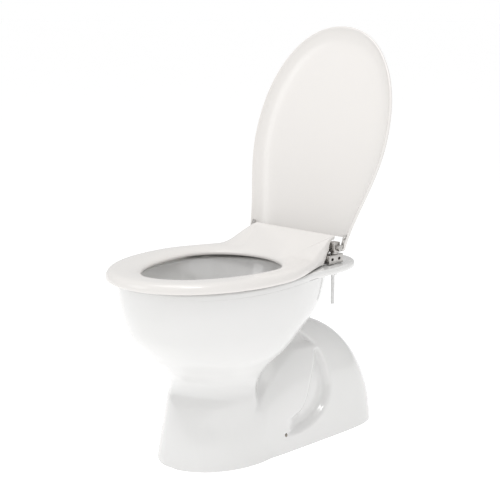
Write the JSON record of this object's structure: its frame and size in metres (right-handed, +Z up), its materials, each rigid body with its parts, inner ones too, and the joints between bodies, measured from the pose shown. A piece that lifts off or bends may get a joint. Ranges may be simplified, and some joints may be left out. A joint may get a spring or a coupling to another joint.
{
  "type": "toilet pan with seat and lid",
  "caption": "Floor-standing white china toilet pan with an oval bowl, a waisted foot with a rear trap housing, and a hinged plastic seat and lid on steel hinges.",
  "frame": {"origin": "on the floor, midway between the front and the back of the whole part with its lid open, on its plane of symmetry", "axes": "+Z up, -Y towards the front of the bowl, +X towards the right hinge as seen from behind"},
  "size_m": [0.372, 0.648, 0.8666],
  "materials": {
    "glazed_china": "glossy white glaze",
    "seat_plastic": "satin-gloss warm white",
    "fixing_nylon": "moulded white",
    "hinge_steel": "brushed stainless",
    "bush_plastic": "moulded natural white",
    "buffer_rubber": "soft pale grey"
  },
  "bodies": {
    "pan": {"pan": "glazed_china", "hinge_plinth_left": "hinge_steel", "hinge_post_left": "hinge_steel", "grub_screw_left": "hinge_steel", "hinge_pin_left": "hinge_steel", "fixing_bolt_left": "fixing_nylon", "nut_washer_left": "fixing_nylon", "fixing_nut_left": "fixing_nylon", "plinth_gasket_left": "buffer_rubber", "hinge_plinth_right": "hinge_steel", "hinge_post_right": "hinge_steel", "grub_screw_right": "hinge_steel", "hinge_pin_right": "hinge_steel", "fixing_bolt_right": "fixing_nylon", "nut_washer_right": "fixing_nylon", "fixing_nut_right": "fixing_nylon", "plinth_gasket_right": "buffer_rubber"},
    "seat": {"seat": "seat_plastic", "seat_bracket_left": "hinge_steel", "seat_screw_left_1": "hinge_steel", "seat_screw_left_2": "hinge_steel", "seat_bush_left": "bush_plastic", "seat_buffer_front_left": "buffer_rubber", "seat_buffer_rear_left": "buffer_rubber", "seat_bracket_right": "hinge_steel", "seat_screw_right_1": "hinge_steel", "seat_screw_right_2": "hinge_steel", "seat_bush_right": "bush_plastic", "seat_buffer_front_right": "buffer_rubber", "seat_buffer_rear_right": "buffer_rubber"},
    "lid": {"lid": "seat_plastic", "lid_bracket_left": "hinge_steel", "lid_screw_left": "hinge_steel", "lid_bush_left": "bush_plastic", "lid_bracket_right": "hinge_steel", "lid_screw_right": "hinge_steel", "lid_bush_right": "bush_plastic"}
  },
  "joints": [
    {"name": "seat_hinge", "type": "hinge", "parent": "pan", "child": "seat", "pos_m": [0, 0.147, 0.418], "axis": [1, 0, 0], "range_deg": [-105, 0]},
    {"name": "lid_hinge", "type": "hinge", "parent": "pan", "child": "lid", "pos_m": [0, 0.147, 0.418], "axis": [1, 0, 0], "range_deg": [0, 110.2]}
  ]
}
